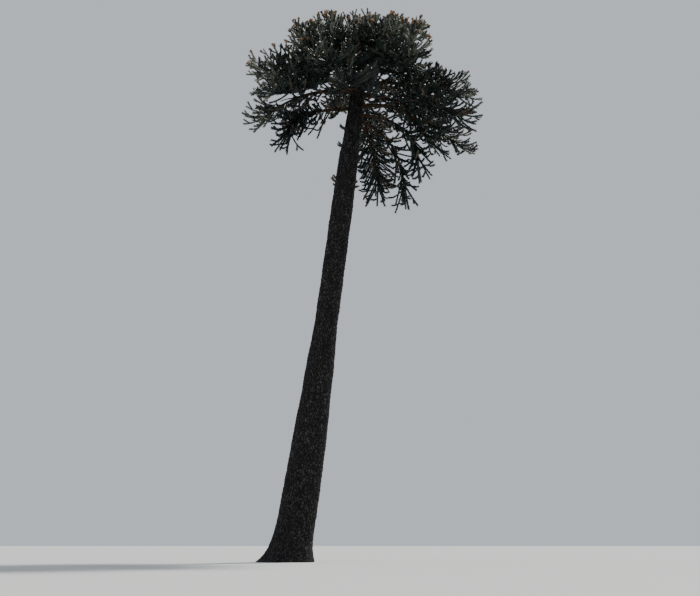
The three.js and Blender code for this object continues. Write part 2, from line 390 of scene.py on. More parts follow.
def bark_pattern(tree, place, plate, stretch, crack):
    """Nodes for the height of bark plates: 0 in the cracks and nearly 1 on the plates."""
    squash = node(tree, "ShaderNodeCombineXYZ", X=1.0, Y=1.0, Z=maths(tree, "DIVIDE", 1.0, stretch))
    cells = vectors(tree, "MULTIPLY", place, squash.outputs[0])
    cells = scaled(tree, cells, maths(tree, "DIVIDE", 1.0, plate))
    bend = node(tree, "ShaderNodeTexNoise", Vector=cells, Scale=WOBBLE_SCALE, Detail=3.0).outputs[1]
    bend = scaled(tree, vectors(tree, "SUBTRACT", bend, NOISE_MIDDLE), 2 * WOBBLE)
    edges = node(tree, "ShaderNodeTexVoronoi", {"feature": "DISTANCE_TO_EDGE"},
                 Vector=vectors(tree, "ADD", cells, bend), Scale=1.0, Randomness=1.0).outputs[0]
    plates = ramp(tree, edges, 0.0, crack)
    rough = noise(tree, cells, PLATE_GRAIN)
    face = maths(tree, "ADD", PLATE_LEAST, maths(tree, "MULTIPLY", rough, PLATE_RANGE))
    return maths(tree, "MULTIPLY", plates, face)


relief, given, result = shape_tree("bark_relief", [("Outward", "vector", None)] + BARK_INPUTS)
place = node(relief, "GeometryNodeInputPosition").outputs[0]
plates = bark_pattern(relief, place, given["Plate"], given["Stretch"], given["Crack"])
swell = noise(relief, place, 1 / LUMP_SIZE, detail=1.0, roughness=0.5)
lumps = maths(relief, "SUBTRACT", swell, LUMP_MIDDLE)
sunk = maths(relief, "MULTIPLY", maths(relief, "SUBTRACT", plates, 1.0), given["Depth"])
shift = maths(relief, "ADD", sunk, maths(relief, "MULTIPLY", lumps, given["Lumps"]))
marked = node(relief, "GeometryNodeStoreNamedAttribute", {"data_type": "FLOAT_VECTOR", "domain": "POINT"},
              Geometry=given["Geometry"], Name="bark_place", Value=place).outputs[0]
moved = node(relief, "GeometryNodeSetPosition", Geometry=marked,
             Offset=scaled(relief, given["Outward"], shift)).outputs[0]
relief.links.new(moved, result["Geometry"])


def dented(tree, shape, outward, given):
    """A shape in another tree with the bark's relief."""
    inner = tree.nodes.new("GeometryNodeGroup")
    inner.node_tree = relief
    tree.links.new(shape, inner.inputs["Geometry"])
    tree.links.new(outward, inner.inputs["Outward"])
    for label, _, _ in BARK_INPUTS:
        tree.links.new(given[label], inner.inputs[label])
    return inner.outputs[0]


print("bark relief tree with", len(relief.nodes), "nodes")

# %% [markdown]
# The bark's colour
# Real bark of this kind is dark grey-brown, darker in its cracks, and grown over by grey-green lichen in
# flecks. The trunk, the boughs and the stems share these effects at different scales, so they are one
# shader node group with its own colours and sizes in each material. The group reads where each point lay
# before it was dented, so that its cracks fall into the dents.

# %% The bark shader group
BARK_COLOURS = ("Plate Colour", "Pale Colour", "Crack Colour", "Lichen Colour")
BARK_SHADES = [(label, "colour", (0.05, 0.05, 0.05, 1)) for label in BARK_COLOURS]
BARK_SHADES += [("Lichen Cover", "number", 0.3), ("Fleck Size", "number", 0.05)] + BARK_INPUTS[:3]
LOOK_RESULTS = [("Colour", "colour"), ("Roughness", "number"), ("Height", "number")]
FLECK_SQUASH = 0.45
FLECK_LIMITS = (0.42, 0.68)
CRACK_LIMITS = (0.1, 0.7)
ROUGH_LIMITS = (0.2, 0.8)
ROUGHEST = 0.96
SMOOTHEST = 0.8
SPOT_SCALE = 0.8
GRAIN_SCALE = 3.0
LICHEN_PATCHES = 1.3
LICHEN_PATCH_LIMITS = (0.35, 0.65)
LICHEN_THINNEST = 0.25
LICHEN_LEAST = 0.86
LICHEN_SPREAD = 0.5
LICHEN_BLUR = 0.10
LICHEN_ON_PLATES = (0.2, 0.7)


def mix_colours(tree, share, low, high):
    """A colour between two others."""
    return node(tree, "ShaderNodeMix", {"data_type": "RGBA"}, _0=share, _6=low, _7=high).outputs[2]


bark, given, result = new_tree("weathered_bark", "ShaderNodeTree", BARK_SHADES, LOOK_RESULTS)
place = node(bark, "ShaderNodeAttribute", {"attribute_name": "bark_place"}).outputs["Vector"]
plates = bark_pattern(bark, place, given["Plate"], given["Stretch"], given["Crack"])
upright = vectors(bark, "MULTIPLY", place, (1.0, 1.0, FLECK_SQUASH))
fleck_scale = maths(bark, "DIVIDE", 1.0, given["Fleck Size"])
fine = noise(bark, upright, fleck_scale, detail=4.0, roughness=0.65)
flecks = ramp(bark, fine, *FLECK_LIMITS)
colour = mix_colours(bark, flecks, given["Plate Colour"], given["Pale Colour"])
colour = mix_colours(bark, ramp(bark, plates, *CRACK_LIMITS), given["Crack Colour"], colour)

broad = noise(bark, upright, LICHEN_PATCHES)
patchy = ramp(bark, broad, *LICHEN_PATCH_LIMITS, LICHEN_THINNEST, 1.0)
cover = maths(bark, "MULTIPLY", given["Lichen Cover"], patchy)
edge = maths(bark, "SUBTRACT", LICHEN_LEAST, maths(bark, "MULTIPLY", cover, LICHEN_SPREAD))
spots = noise(bark, place, maths(bark, "MULTIPLY", fleck_scale, SPOT_SCALE), roughness=0.7)
lichen = ramp(bark, spots, maths(bark, "SUBTRACT", edge, LICHEN_BLUR), edge)
lichen = maths(bark, "MULTIPLY", lichen, ramp(bark, plates, *LICHEN_ON_PLATES))
colour = mix_colours(bark, lichen, colour, given["Lichen Colour"])

grain_scale = maths(bark, "MULTIPLY", fleck_scale, GRAIN_SCALE)
grain = noise(bark, upright, grain_scale, roughness=0.7)
height = weighted(bark, (plates, 0.6), (fine, 0.3), (grain, 0.15))
bark.links.new(colour, result["Colour"])
bark.links.new(ramp(bark, fine, *ROUGH_LIMITS, ROUGHEST, SMOOTHEST), result["Roughness"])
bark.links.new(height, result["Height"])
print("bark group with", len(bark.nodes), "nodes")

# %% [markdown]
# Materials from a group
# A material places the group once, gives it this finish's own values, and joins its three results to the
# shader. The height goes through a Bump node, which tilts the light without moving the surface.

# %% A material that uses a group
def grouped_material(name, group, values, bump, bump_depth, gloss):
    """A material whose colour, roughness and bump come from a node group."""
    material, shader = new_material(name)
    shader.inputs["Specular IOR Level"].default_value = gloss
    tree = material.node_tree
    effect = tree.nodes.new("ShaderNodeGroup")
    effect.node_tree = group
    for label, value in values.items():
        effect.inputs[label].default_value = (*value, 1) if isinstance(value, tuple) else value
    lift = node(tree, "ShaderNodeBump", Strength=bump, Distance=bump_depth,
                Height=effect.outputs["Height"])
    tree.links.new(effect.outputs["Colour"], shader.inputs["Base Color"])
    tree.links.new(effect.outputs["Roughness"], shader.inputs["Roughness"])
    tree.links.new(lift.outputs["Normal"], shader.inputs["Normal"])
    return material


BARK_GLOSS = 0.12
TRUNK_PLATES = {"Plate": 0.075, "Stretch": 1.7, "Crack": 0.30}
BOUGH_PLATES = {"Plate": 0.045, "Stretch": 0.8, "Crack": 0.25}
STEM_PLATES = {"Plate": 0.035, "Stretch": 0.8, "Crack": 0.30}
# Colours of plates, pale spots, cracks and lichen
TRUNK_COLOURS = ((0.025, 0.023, 0.024), (0.062, 0.058, 0.057), (0.008, 0.0075, 0.007),
                 (0.115, 0.110, 0.070))
BOUGH_COLOURS = ((0.046, 0.028, 0.017), (0.095, 0.064, 0.040), (0.012, 0.008, 0.005),
                 (0.150, 0.145, 0.100))
STEM_COLOURS = ((0.040, 0.026, 0.016), (0.080, 0.057, 0.034), (0.011, 0.008, 0.005),
                (0.120, 0.120, 0.075))


def bark_material(name, colours, plates, cover, fleck, bump, bump_depth):
    """A bark with its own colours and plates, and with its own lichen and flecks."""
    values = {**dict(zip(BARK_COLOURS, colours)), **plates, "Lichen Cover": cover, "Fleck Size": fleck}
    return grouped_material(name, bark, values, bump, bump_depth, BARK_GLOSS)


trunk_bark = bark_material("trunk_bark", TRUNK_COLOURS, TRUNK_PLATES, cover=0.38, fleck=0.11, bump=0.7,
                           bump_depth=0.015)
bough_bark = bark_material("bough_bark", BOUGH_COLOURS, BOUGH_PLATES, cover=0.3, fleck=0.035, bump=0.5,
                           bump_depth=0.008)
stem_bark = bark_material("stem_bark", STEM_COLOURS, STEM_PLATES, cover=0.15, fleck=0.025, bump=0.5,
                          bump_depth=0.005)
print("bark materials:", trunk_bark.name, bough_bark.name, stem_bark.name)

# %% [markdown]
# The trunk's mesh
# The trunk could be a curve with a bevel, but its root lobes need a radius that changes round the foot as
# well as up it. Rings of points from the two formulas give that, close enough together to hold the bark's
# cracks. It is two pieces, so that neither has too many triangles, and each has a flat cap at both ends.

# %% Build the trunk
TRUNK_SIDES = 168
TRUNK_DENTS = {"Depth": 0.022, "Lumps": 0.04}
PART_HEIGHT = 8.0
# Name, lowest and highest point, and number of steps of each piece
TRUNK_PARTS = [("trunk_foot_bark", 0.0, PART_HEIGHT, 350),
               ("trunk_upper_bark", PART_HEIGHT, TRUNK_HEIGHT, 540)]
trunk_relief, given, result = shape_tree("trunk_relief", BARK_INPUTS)
outward = stored(trunk_relief, "outward", "FLOAT_VECTOR")
trunk_relief.links.new(dented(trunk_relief, given["Geometry"], outward, given), result["Geometry"])


def trunk_piece(name, low, high, steps):
    """A closed length of trunk, each point knowing its way outward."""
    angles = np.arange(TRUNK_SIDES) * 2 * math.pi / TRUNK_SIDES
    points, outward = [], []
    for z in np.linspace(low, high, steps + 1):
        for angle in angles:
            way = level_way(angle)
            points.append(trunk_axis(z) + way * trunk_radius(z, angle))
            outward.append(way)
    faces = []
    for start in range(0, steps * TRUNK_SIDES, TRUNK_SIDES):
        for side in range(TRUNK_SIDES):
            left, right = start + side, start + (side + 1) % TRUNK_SIDES
            faces.append((left, right, right + TRUNK_SIDES, left + TRUNK_SIDES))
    bottom = tuple(reversed(range(TRUNK_SIDES)))
    top = tuple(range(steps * TRUNK_SIDES, (steps + 1) * TRUNK_SIDES))
    piece = new_piece(name, points, [], faces + [bottom, top])
    piece.data.polygons.foreach_set("use_smooth", [True] * len(faces) + [False, False])
    mark_points(piece, "outward", "FLOAT_VECTOR", outward)
    apply_tree(piece, trunk_relief, {**TRUNK_PLATES, **TRUNK_DENTS})
    piece.data.materials.append(trunk_bark)
    return piece


trunk_pieces = [trunk_piece(*part) for part in TRUNK_PARTS]
for piece in trunk_pieces:
    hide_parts("trunk")
    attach(piece, "root")
    print(piece.name, triangles(piece), "triangles")

# %% [markdown]
# The plan of the boughs
# Boughs leave the trunk in tiers, from the leaders at its tip down to the weeping ones. A tier says where
# its boughs start, how thick they are, how steeply they leave and end, and how their shoots stand. Each
# bough has its own plane angle, its reach and its lift, and some have their own bare share where they show
# against the sky. A bough is bare near the trunk, and its leafy stretch is called its stem here.

# %% Plan the limbs
# The first shoots' angles to the stem, at its root and at its tip, and how much their ends turn up
STANDING = {"spread": (68, 34), "upturn": 0.7}
HANGING = {"spread": (46, 26), "upturn": 0.25}
TIER_TERMS = ("name", "root", "stagger", "thick", "rise", "end", "bare", "stance", "boughs")
TIERS = [dict(zip(TIER_TERMS, row)) for row in (
    ("leader", 19.30, 0.06, 0.050, 40, 45, 0.30, STANDING, (
        (17, 1.45, 0.85), (204, 1.20, 0.55), (285, 1.15, -0.30))),
    ("dome", 18.80, 0.11, 0.064, 30, 15, 0.34, STANDING, (
        (346, 1.90, 0.98), (45, 2.00, 0.95), (92, 1.95, 0.90), (154, 2.30, 0.75),
        (200, 2.20, 0.40), (241, 2.00, -0.55), (296, 2.10, -0.15))),
    ("shoulder", 18.05, 0.12, 0.080, 16, -10, 0.38, STANDING, (
        (351, 3.90, -1.15), (42, 3.85, 0.20), (100, 3.70, 0.50, 0.50), (150, 4.10, 0.90, 0.62),
        (199, 3.65, -0.55), (252, 3.60, -1.40), (300, 3.60, -1.20))),
    ("skirt", 17.40, 0.12, 0.092, 14, -30, 0.40, STANDING, (
        (19, 4.30, -1.40), (80, 4.10, -0.10), (225, 3.85, -1.50), (158, 4.15, -0.30, 0.50),
        (266, 3.95, -1.90), (336, 4.05, -2.00))),
    ("hem", 16.80, 0.09, 0.080, 0, -72, 0.42, HANGING, (
        (335, 2.95, -2.10, 0.70), (72, 2.70, -1.70), (172, 2.60, -0.75))),
    ("weeping", 16.30, 0.09, 0.066, -12, -85, 0.45, HANGING, (
        (335, 2.55, -2.40), (9, 1.95, -2.65), (58, 1.80, -2.15))),
)]
START_PULL = 0.45
END_PULL = 0.35
BOUGH_TAPER = 0.62
TIP_THICK = 0.075
TIP_STEM = 0.25
LENGTH_STEPS = 200


def pitched(out, degrees):
    """A way that rises from a level one by an angle."""
    return out * math.cos(math.radians(degrees)) + UP * math.sin(math.radians(degrees))


def limb_course(tier, root, turn, reach, lift):
    """Four handles from the trunk's axis to the limb's last tip."""
    out = level_way(turn)
    tip = root + out * reach + UP * lift
    chord = math.hypot(reach, lift)
    return [root, root + pitched(out, tier["rise"]) * chord * START_PULL,
            tip - pitched(out, tier["end"]) * chord * END_PULL, tip]


def plan_limbs():
    """Every bough with its stem, and the tuft on the trunk's own tip."""
    planned = []
    for tier in TIERS:
        for number, (degrees, reach, lift, *own_bare) in enumerate(tier["boughs"]):
            key = len(planned) + 1
            turn = math.radians(degrees)
            root = trunk_axis(tier["root"] + (1 if key % 2 else -1) * tier["stagger"])
            planned.append({
                "key": key, "tier": tier["name"], "label": tier["name"] + "_" + str(number + 1),
                "thick": tier["thick"], "bare": own_bare[0] if own_bare else tier["bare"],
                "course": limb_course(tier, root, turn, reach, lift),
                "side": np.array([-math.sin(turn), math.cos(turn), 0.0]), **tier["stance"]})
    foot = trunk_axis(TRUNK_HEIGHT)
    planned.append({"key": 0, "tier": "tip", "label": "tip", "thick": TIP_THICK, "bare": 0.0,
                    "course": [foot, foot + UP * TIP_STEM], "side": np.array([0.0, 1.0, 0.0]), **STANDING})
    return planned


def summed(grown):
    """The length of all these limbs or shoots together, in whole metres."""
    return round(sum(shoot["length"] for shoot in grown))


limbs = plan_limbs()
for limb in limbs:
    fine_steps = bezier(limb["course"], np.linspace(limb["bare"], 1, LENGTH_STEPS + 1))
    limb["stem_length"] = float(np.linalg.norm(np.diff(fine_steps, axis=0), axis=1).sum())
    limb["length"] = limb["stem_length"] / (1 - limb["bare"])
print(len(limbs), "limbs, about", summed(limbs), "m with their bare stretches")

# %% [markdown]
# The rule for shoots
# Shoots stand off a stem in pairs, one to each side, like ribs on a fish's spine. Each leaves at an angle
# and turns its end up, and a fan of three closes the stem. A shoot that would enter a neighbour's space or
# touch a limb is tried shorter and then left out. So is one that would hang in front of a gap where sky
# shows through the crown. Each gap is a band in the picture, given by two ends, half its width in pixels
# and the share of shoots that may cross it, which makes a comb of it.

# %% Grow the first shoots
SHOOT_LENGTH = 1.1
SHOOT_SIZES = (0.85, 1.1)
SHOOT_RADIUS = 0.062
SHOOT_TRIES = (1, 0.82, 0.64)
PAIR_SPACING = 0.2
PAIR_STAGGER = 0.2
PAIR_ROLL = 0.9
PAIR_DRAW = 10
DRAWS_A_PAIR = 4
SIZE_DRAW = 50
ELBOW = 0.55
FAN_AT = 0.97
FAN_SIZE = 0.9
FAN_TURN = 0.5
FAN_SPREADS = (0.2, 0.8, 0.8)
SPACE_MARGIN = 0.08
LIMB_MARGIN = 0.04
TESTED_AT = np.array([0.3, 0.5, 0.7, 0.85, 1])
STEM_SAMPLES = 12
PHOTO_HEIGHT = 596
SKY_GAPS = [((275, 98), (290, 97), 3.6, 0.05), ((293, 96), (314, 89), 3.0, 0.4),
            ((314, 88), (339, 82), 2.2, 0.4), ((290, 109), (306, 104), 1.5, 0.6),
            ((306, 104), (329, 98), 1.3, 0.6), ((329, 130), (343, 118), 6, 0.05),
            ((437, 44), (444, 58), 5, 0), ((444, 62), (450, 64), 3, 0), ((318, 5), (345, 5), 4, 0),
            ((279, 22), (288, 24), 5, 0), ((474, 80), (486, 91), 5, 0),
            ((418, 61), (438, 58), 2.4, 0.3)]
GAP_TESTED_AT = np.linspace(0, 1, 7)
GAP_DRAW = 60
MILLIMETRES = 1000

sample_places = np.linspace(0, 1, STEM_SAMPLES + 1)
stem_samples = np.array([bezier(limb["course"], blend(limb["bare"], 1, sample_places)) for limb in limbs])
bough_samples = np.array([bezier(limb["course"], limb["bare"] * sample_places[1:]) for limb in limbs[:-1]])
bough_clear = np.array([limb["thick"] + SHOOT_RADIUS + LIMB_MARGIN for limb in limbs[:-1]])


def in_picture(points):
    """Where points fall in the picture, in its pixels."""
    pitch = math.radians(CAMERA_PITCH)
    away = points - np.array(CAMERA_PLACE)
    depth = away[:, 1] * math.cos(pitch) + away[:, 2] * math.sin(pitch)
    up = away[:, 2] * math.cos(pitch) - away[:, 1] * math.sin(pitch)
    across = PHOTO_WIDTH / 2 + FOCAL_PIXELS * away[:, 0] / depth
    return np.stack([across, PHOTO_HEIGHT / 2 - FOCAL_PIXELS * up / depth], axis=1)


def in_sky_gap(course):
    """True where a course would stand in front of a gap of sky, unless its root's chance lets it cross."""
    spots = in_picture(bezier(course, GAP_TESTED_AT))
    chance = seeded(round(MILLIMETRES * course[0][0]), GAP_DRAW)
    for left, right, half, crossing in SKY_GAPS:
        left, run = np.array(left), np.array(right) - np.array(left)
        along = np.clip((spots - left) @ run / (run @ run), 0, 1)
        from_band = np.linalg.norm(spots - left - along[:, None] * run, axis=1)
        if chance >= crossing and (from_band < half).any():
            return True
    return False


def distances(points, samples):
    """The least distance from each point to each limb's samples."""
    return np.linalg.norm(points[:, None, None, :] - samples[None], axis=-1).min(axis=2)


def nearer_to_own(points, own, samples, margin):
    """True where every point is nearer to its own limb than to any other."""
    to_limbs = distances(points, samples)
    home = to_limbs[:, own].copy()
    to_limbs[:, own] = np.inf
    return bool((home + margin <= to_limbs.min(axis=1)).all())


def clear_of_trunk(points, clearance):
    """True where every point stands off the trunk by a clearance."""
    for point in points:
        from_axis = math.hypot(point[0] - trunk_axis(point[2])[0], point[1])
        if point[2] < TRUNK_HEIGHT + SHOOT_RADIUS and from_axis < bole_radius(point[2]) + clearance:
            return False
    return True


def first_rule(course, own):
    """The space test of the solids."""
    points = bezier(course, TESTED_AT)
    return (not in_sky_gap(course) and nearer_to_own(points, own, stem_samples, SPACE_MARGIN)
            and not (distances(points, bough_samples) < bough_clear).any()
            and clear_of_trunk(points, SHOOT_RADIUS + LIMB_MARGIN))


def shoot_course(stem, way, length):
    """Three handles: a shoot leaves the stem at an angle, drooping or not, and its end turns up."""
    share, sideways, spread, upturn, droop = way
    root = bezier(stem["course"], share)[0]
    tangent = bezier_tangent(stem["course"], share)
    above = -np.cross(tangent, stem["side"])
    off = stem["side"] * math.cos(sideways) + above * math.sin(sideways)
    first = unit(tangent * math.cos(spread) + off * math.sin(spread) - UP * droop)
    last = unit(first + UP * upturn)
    elbow = root + first * length * ELBOW
    return [root, elbow, elbow + last * length * (1 - ELBOW)]


def add_shoot(found, own, stem, way, length, rule, tries=SHOOT_TRIES):
    """Adds a shoot at the first length that finds room."""
    for share in tries:
        course = shoot_course(stem, way, length * share)
        if rule(course, own):
            found.append({"course": course, "limb": own, "length": length * share})
            return


def in_pairs(key, pairs, first_draw, stagger, roll):
    """Place along a stem, angle round it and draw number of both shoots of each pair."""
    for pair in range(pairs):
        for hand in (-1, 1):
            draw = first_draw + DRAWS_A_PAIR * pair + hand
            sideways = (0 if hand > 0 else math.pi) + between(key, draw, roll)
            yield (pair + 0.5 + stagger * hand) / pairs, sideways, draw


def first_wishes(limb):
    """Pairs along the stem and a fan at its end, as (along, sideways, lengthwise, size)."""
    key = limb["key"]
    pairs = round(limb["stem_length"] / PAIR_SPACING)
    wishes = []
    for along, sideways, draw in in_pairs(key, pairs, PAIR_DRAW, PAIR_STAGGER, PAIR_ROLL):
        wishes.append((along, sideways, 1, blend(*SHOOT_SIZES, seeded(key, draw + SIZE_DRAW))))
    for number, spread in enumerate(FAN_SPREADS):
        sideways = number * 2 * math.pi / len(FAN_SPREADS) + FAN_TURN
        wishes.append((FAN_AT, sideways, spread, FAN_SIZE))
    return wishes


shoots = []
for number, limb in enumerate(limbs):
    for along, sideways, lengthwise, size in first_wishes(limb):
        spread = math.radians(blend(*limb["spread"], along)) * lengthwise
        way = (blend(limb["bare"], 1, along), sideways, spread, limb["upturn"], 0.0)
        add_shoot(shoots, number, limb, way, SHOOT_LENGTH * size, first_rule)
print(len(shoots), "first shoots,", summed(shoots), "m")

# %% [markdown]
# Side stems
# The longer boughs of a real crown carry side stems, which close the wedges between one bough and the next.
# They leave to both sides, stay inside the box of their own mass, and droop or rise with it. The box has a
# little slack, more of it upwards, because a shoot's tip is rounder here than in the solids.

# %% Grow the side stems
SIDE_STEM_TIERS = {"dome": 3, "shoulder": 4, "skirt": 5, "hem": 3}
SIDE_STEM_FROM = 0.34
SIDE_STEM_TO = 0.8
SIDE_STEM_STAGGER = 0.25
SIDE_STEM_ROLL = 0.35
SIDE_STEM_SPREAD = 48
SIDE_STEM_WAVER = 8
SIDE_STEM_SHARE = 0.42
SIDE_STEM_SIZES = (1.15, 0.75)
SIDE_STEM_UPTURNS = {"dome": 0.30, "shoulder": 0.0, "skirt": -0.55, "hem": -0.8}
SIDE_STEM_DRAW = 300
REACH_SLACK = np.array([0.10, 0.10, 0.24])
OVERLAP = 0.35
INNER_CLEARANCE = 0.05
SAMPLED_FROM = 0.04

whole_samples = np.array([bezier(limb["course"], blend(SAMPLED_FROM, 1, sample_places)) for limb in limbs])
reach_boxes = []
for limb in limbs:
    low, high = (np.array(corner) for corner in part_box("foliage_" + limb["label"]))
    if limb["label"] != "tip":
        bough_low, bough_high = (np.array(corner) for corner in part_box("bough_" + limb["label"]))
        low, high = np.minimum(low, bough_low), np.maximum(high, bough_high)
    reach_boxes.append((low - REACH_SLACK, high + REACH_SLACK))


def finer_rule(course, own):
    """A looser space test: inside the mass's own box, about nearest to its own limb, and off the trunk."""
    points = bezier(course, TESTED_AT)
    low, high = reach_boxes[own]
    if (points < low).any() or (points > high).any() or in_sky_gap(course):
        return False
    return nearer_to_own(points, own, whole_samples, -OVERLAP) and clear_of_trunk(points, INNER_CLEARANCE)


side_stems = []
for number, limb in enumerate(limbs):
    key = limb["key"]
    pairs = SIDE_STEM_TIERS.get(limb["tier"], 0)
    for along, sideways, draw in in_pairs(key, pairs, SIDE_STEM_DRAW, SIDE_STEM_STAGGER, SIDE_STEM_ROLL):
        share = blend(SIDE_STEM_FROM, SIDE_STEM_TO, along)
        spread = math.radians(SIDE_STEM_SPREAD + between(key, draw + 1, SIDE_STEM_WAVER))
        length = limb["stem_length"] * SIDE_STEM_SHARE * blend(*SIDE_STEM_SIZES, share)
        way = (share, sideways, spread, SIDE_STEM_UPTURNS[limb["tier"]], 0.0)
        add_shoot(side_stems, number, limb, way, length, finer_rule)
for stem in side_stems:
    stem["side"] = unit(np.cross(UP, bezier_tangent(stem["course"], 0.5)))
print(len(side_stems), "side stems,", summed(side_stems), "m")

# %% [markdown]
# Finer shoots
# A real crown is much denser than the first pairs. More shoots stand all round each stem, each turned from
# the last by the golden angle, and they begin nearer the trunk. Low in the crown they droop first and then
# turn up, like a J. Every shoot carries a broom of short ones, which end about where it ends itself, so
# that the crown has a blunt edge. A habit says how close, long and steep a tier's shoots are. Two boughs
# that show against the sky have habits of their own, and three keep their bare share.

# %% Grow the finer shoots
GOLDEN_ANGLE = math.pi * (3 - math.sqrt(5))
HABIT_TERMS = ("spacing", "flat", "start", "sizes", "spreads", "upturns", "droop", "fork_step")
HABITS = {tier: dict(zip(HABIT_TERMS, row)) for tier, row in {
    "leader": (0.055, 1.0, 0.12, (0.80, 1.35), (64, 28), (0.9, 1.8), 0.0, 0.13),
    "dome": (0.065, 0.9, 0.13, (0.60, 1.05), (68, 34), (0.8, 1.6), 0.0, 0.11),
    "tip": (0.02, 1.0, 0.0, (0.80, 1.2), (68, 24), (0.5, 1.5), 0.0, 0.11),
    "shoulder": (0.072, 0.7, 0.07, (0.65, 1.05), (64, 32), (0.9, 1.6), 0.45, 0.26),
    "skirt": (0.08, 0.7, 0.07, (0.70, 1.1), (60, 30), (1.0, 1.8), 0.65, 0.45),
    "hem": (0.12, 1.0, 0.20, (0.70, 1.1), (58, 28), (0.9, 1.7), 0.90, 0.80),
    "shoulder_1": (0.06, 0.9, 0.07, (0.65, 1.1), (64, 32), (1.0, 1.9), 0.10, 0.26),
    "hem_3": (0.035, 1.0, 0.12, (0.55, 1.1), (80, 36), (0.2, 1.5), 0.25, 0.60),
}.items()}
HABITS["weeping"] = HABITS["hem"]
FINE_TRIES = (1, 0.8, 0.6, 0.45)
OPEN_BOUGHS = ("shoulder_4", "skirt_3", "hem_1")
ROUND_DRAW = 500
DRAWS_A_SHOOT = 3
ROUND_WAVER = 0.5
COUNT_DRAW = 499
SIDE_SPACING = 0.12
SIDE_FINE_FROM = 0.12
SIDE_FINE_SIZES = (0.5, 0.85)
SIDE_KEYS = 100
BROOM_KEYS = 400
FORK_FROM = 0.4
FORK_TO = 0.9
FORK_SIZES = (0.8, 1.15)
FORK_LEAST = 0.16
FORK_SPREADS = (52, 36)
FORK_UPTURNS = (0.5, 1.2)
NEARLY_UP = UP + 0.001


def habit_of(limb):
    """A bough's own habit, or else its tier's."""
    return HABITS.get(limb["label"], HABITS[limb["tier"]])


def stand_round(habit, serial, length, low, high, spacing):
    """Share along a stem, angle round it and draw number of each shoot between two shares."""
    count = int(length * (high - low) / spacing + seeded(serial, COUNT_DRAW))
    for number in range(count):
        draw = ROUND_DRAW + DRAWS_A_SHOOT * number
        sideways = number * GOLDEN_ANGLE + between(serial, draw, ROUND_WAVER)
        sideways = math.atan2(habit["flat"] * math.sin(sideways), math.cos(sideways))
        yield blend(low, high, (number + 0.5) / count), sideways, draw


def grow_round(stem, own, serial, low, spacing, sizes):
    """Shoots all round a stem at even steps."""
    habit = habit_of(limbs[own])
    for share, sideways, draw in stand_round(habit, serial, stem["length"], low, 1, spacing):
        spread = math.radians(blend(*habit["spreads"], share))
        upturn = blend(*habit["upturns"], seeded(serial, draw + 2))
        length = SHOOT_LENGTH * blend(*sizes, seeded(serial, draw + 1))
        way = (share, sideways, spread, upturn, habit["droop"])
        add_shoot(shoots, own, stem, way, length, finer_rule, FINE_TRIES)


def grow_broom(shoot, serial):
    """Short shoots round the outer part of a shoot, each about as long as what is left of it."""
    habit = habit_of(limbs[shoot["limb"]])
    stem = {**shoot, "side": unit(np.cross(NEARLY_UP, bezier_tangent(shoot["course"], 0.5)))}
    places = stand_round(habit, serial, shoot["length"], FORK_FROM, FORK_TO, habit["fork_step"])
    for share, sideways, draw in places:
        spread = math.radians(blend(*FORK_SPREADS, share))
        upturn = blend(*FORK_UPTURNS, seeded(serial, draw + 2))
        size = blend(*FORK_SIZES, seeded(serial, draw + 1))
        length = max(FORK_LEAST, shoot["length"] * (1 - share) * size)
        way = (share, sideways, spread, upturn, 0.0)
        add_shoot(shoots, shoot["limb"], stem, way, length, finer_rule, FINE_TRIES)


for number, limb in enumerate(limbs):
    habit = habit_of(limb)
    low = limb["bare"] if limb["label"] in OPEN_BOUGHS else habit["start"]
    grow_round(limb, number, limb["key"], low, habit["spacing"], habit["sizes"])
print(len(shoots), "shoots after the boughs' own")
for serial, stem in enumerate(side_stems):
    grow_round(stem, stem["limb"], SIDE_KEYS + serial, SIDE_FINE_FROM, SIDE_SPACING, SIDE_FINE_SIZES)
print(len(shoots), "shoots,", summed(shoots), "m")
for serial, shoot in enumerate(list(shoots)):
    grow_broom(shoot, BROOM_KEYS + serial)
print(len(shoots), "shoots with brooms,", summed(shoots), "m")

# %% [markdown]
# Boughs and stems as tubes
# A limb is a tube along its course that thins towards its end. Curve to Mesh sweeps a circle along a curve
# and scales it by an attribute, so one tree makes them all, and the bark relief runs inside it.

# %% Build the boughs and stems
SIDE_STEM_THICK = 0.026
STEM_END_RADIUS = 0.018
LIMB_POINTS = 25
SIDE_STEM_POINTS = 12
RUN_IN = 0.02
BOUGH_TUBE = {"Sides": 22, "Step": 0.025, "Depth": 0.008, "Lumps": 0.015}
STEM_TUBE = {"Sides": 8, "Step": 0.06, "Depth": 0.006, "Lumps": 0.01}
TUBE_INPUTS = [("Sides", "count", 12), ("Step", "number", 0.03), ("Material", "material", None)]


def as_curve(tree, given):
    """The lines that go into a tree, as curves."""
    return node(tree, "GeometryNodeMeshToCurve", Mesh=given["Geometry"]).outputs[0]


def sweep(tree, line, sides, radius):
    """A tube with closed ends along a curve, which the girth of its points scales."""
    ring = node(tree, "GeometryNodeCurvePrimitiveCircle", Resolution=sides, Radius=radius).outputs[0]
    return node(tree, "GeometryNodeCurveToMesh", Curve=line, Profile_Curve=ring,
                Scale=stored(tree, "girth"), Fill_Caps=True).outputs[0]


def hand_out(tree, shape, given, result, smooth=False):
    """Ends a tree: the shape gets its shading and its material and comes out."""
    if smooth:
        shape = node(tree, "GeometryNodeSetShadeSmooth", Geometry=shape).outputs[0]
    coated = node(tree, "GeometryNodeSetMaterial", Geometry=shape, Material=given["Material"])
    tree.links.new(coated.outputs[0], result["Geometry"])


tube, given, result = shape_tree("tapered_limb", TUBE_INPUTS + BARK_INPUTS)
line = node(tube, "GeometryNodeResampleCurve", {"mode": "LENGTH"}, Curve=as_curve(tube, given),
            Length=given["Step"]).outputs[0]
swept = sweep(tube, line, given["Sides"], 1.0)
shape = dented(tube, swept, node(tube, "GeometryNodeInputNormal").outputs[0], given)
hand_out(tube, shape, given, result, smooth=True)


